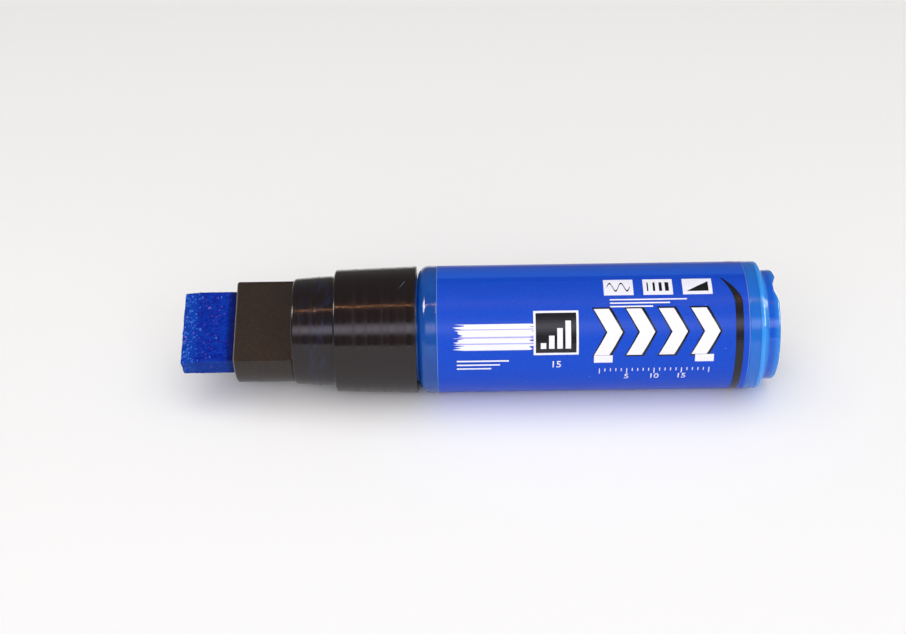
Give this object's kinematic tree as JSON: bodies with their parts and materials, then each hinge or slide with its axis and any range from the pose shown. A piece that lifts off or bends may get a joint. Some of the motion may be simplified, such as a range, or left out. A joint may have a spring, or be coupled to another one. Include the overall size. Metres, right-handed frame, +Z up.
{
  "type": "acrylic paint marker",
  "caption": "Broad acrylic paint marker lying on its side: felt block nib in a flatted holder, screw collar with a pump valve, translucent barrel, label sleeve and notched end plug.",
  "frame": {"origin": "on the table, below the middle of the marker's length", "axes": "+X along the marker from nib to end plug, +Z up, -Y towards the viewer"},
  "size_m": [0.1106, 0.024, 0.0241],
  "materials": {
    "felt": "pressed felt soaked with blue paint",
    "holder_plastic": "fine matt moulding",
    "collar_plastic": "polished moulding",
    "valve_plastic": "natural moulding",
    "seal_rubber": "matt",
    "spring_steel": "drawn stainless wire",
    "barrel_plastic": "translucent moulding with paint inside",
    "label_film": "printed film",
    "plug_plastic": "translucent moulding",
    "ball_steel": "polished ball"
  },
  "bodies": {
    "barrel": {"barrel": "barrel_plastic", "label_sleeve": "label_film", "end_plug": "plug_plastic"},
    "neck_joint": {"neck_gasket": "seal_rubber"},
    "front": {"front_collar": "collar_plastic", "nib_holder": "holder_plastic", "valve_body": "valve_plastic", "spring_cage": "valve_plastic", "valve_spring": "spring_steel"},
    "stem": {"valve_stem": "valve_plastic", "stem_seal": "seal_rubber"},
    "nib": {"nib": "felt"},
    "balls": {"mixing_ball_front": "ball_steel", "mixing_ball_rear": "ball_steel"}
  },
  "joints": [
    {"name": "collar_lift", "type": "slide", "parent": "barrel", "child": "neck_joint", "axis": [-1, 0, 0], "range_m": [0, 0.0075]},
    {"name": "collar_unscrew", "type": "hinge", "parent": "neck_joint", "child": "front", "pos_m": [0, 0, 0.01199], "axis": [-1, 0, 0], "range_deg": [0, 1080]},
    {"name": "valve_press", "type": "slide", "parent": "front", "child": "stem", "axis": [1, 0, 0], "range_m": [0, 0.0025], "stiffness_N_per_m": 1000, "deforming": ["valve_spring"]},
    {"name": "nib_pull", "type": "slide", "parent": "stem", "child": "nib", "axis": [-1, 0, 0], "range_m": [0, 0.019]},
    {"name": "ball_roll", "type": "slide", "parent": "barrel", "child": "balls", "axis": [1, 0, 0], "range_m": [-0.0053, 0.0298]}
  ],
  "couplings": [
    {"joint": "collar_unscrew", "follows": "collar_lift", "rad_per_m": 2513.3}
  ]
}
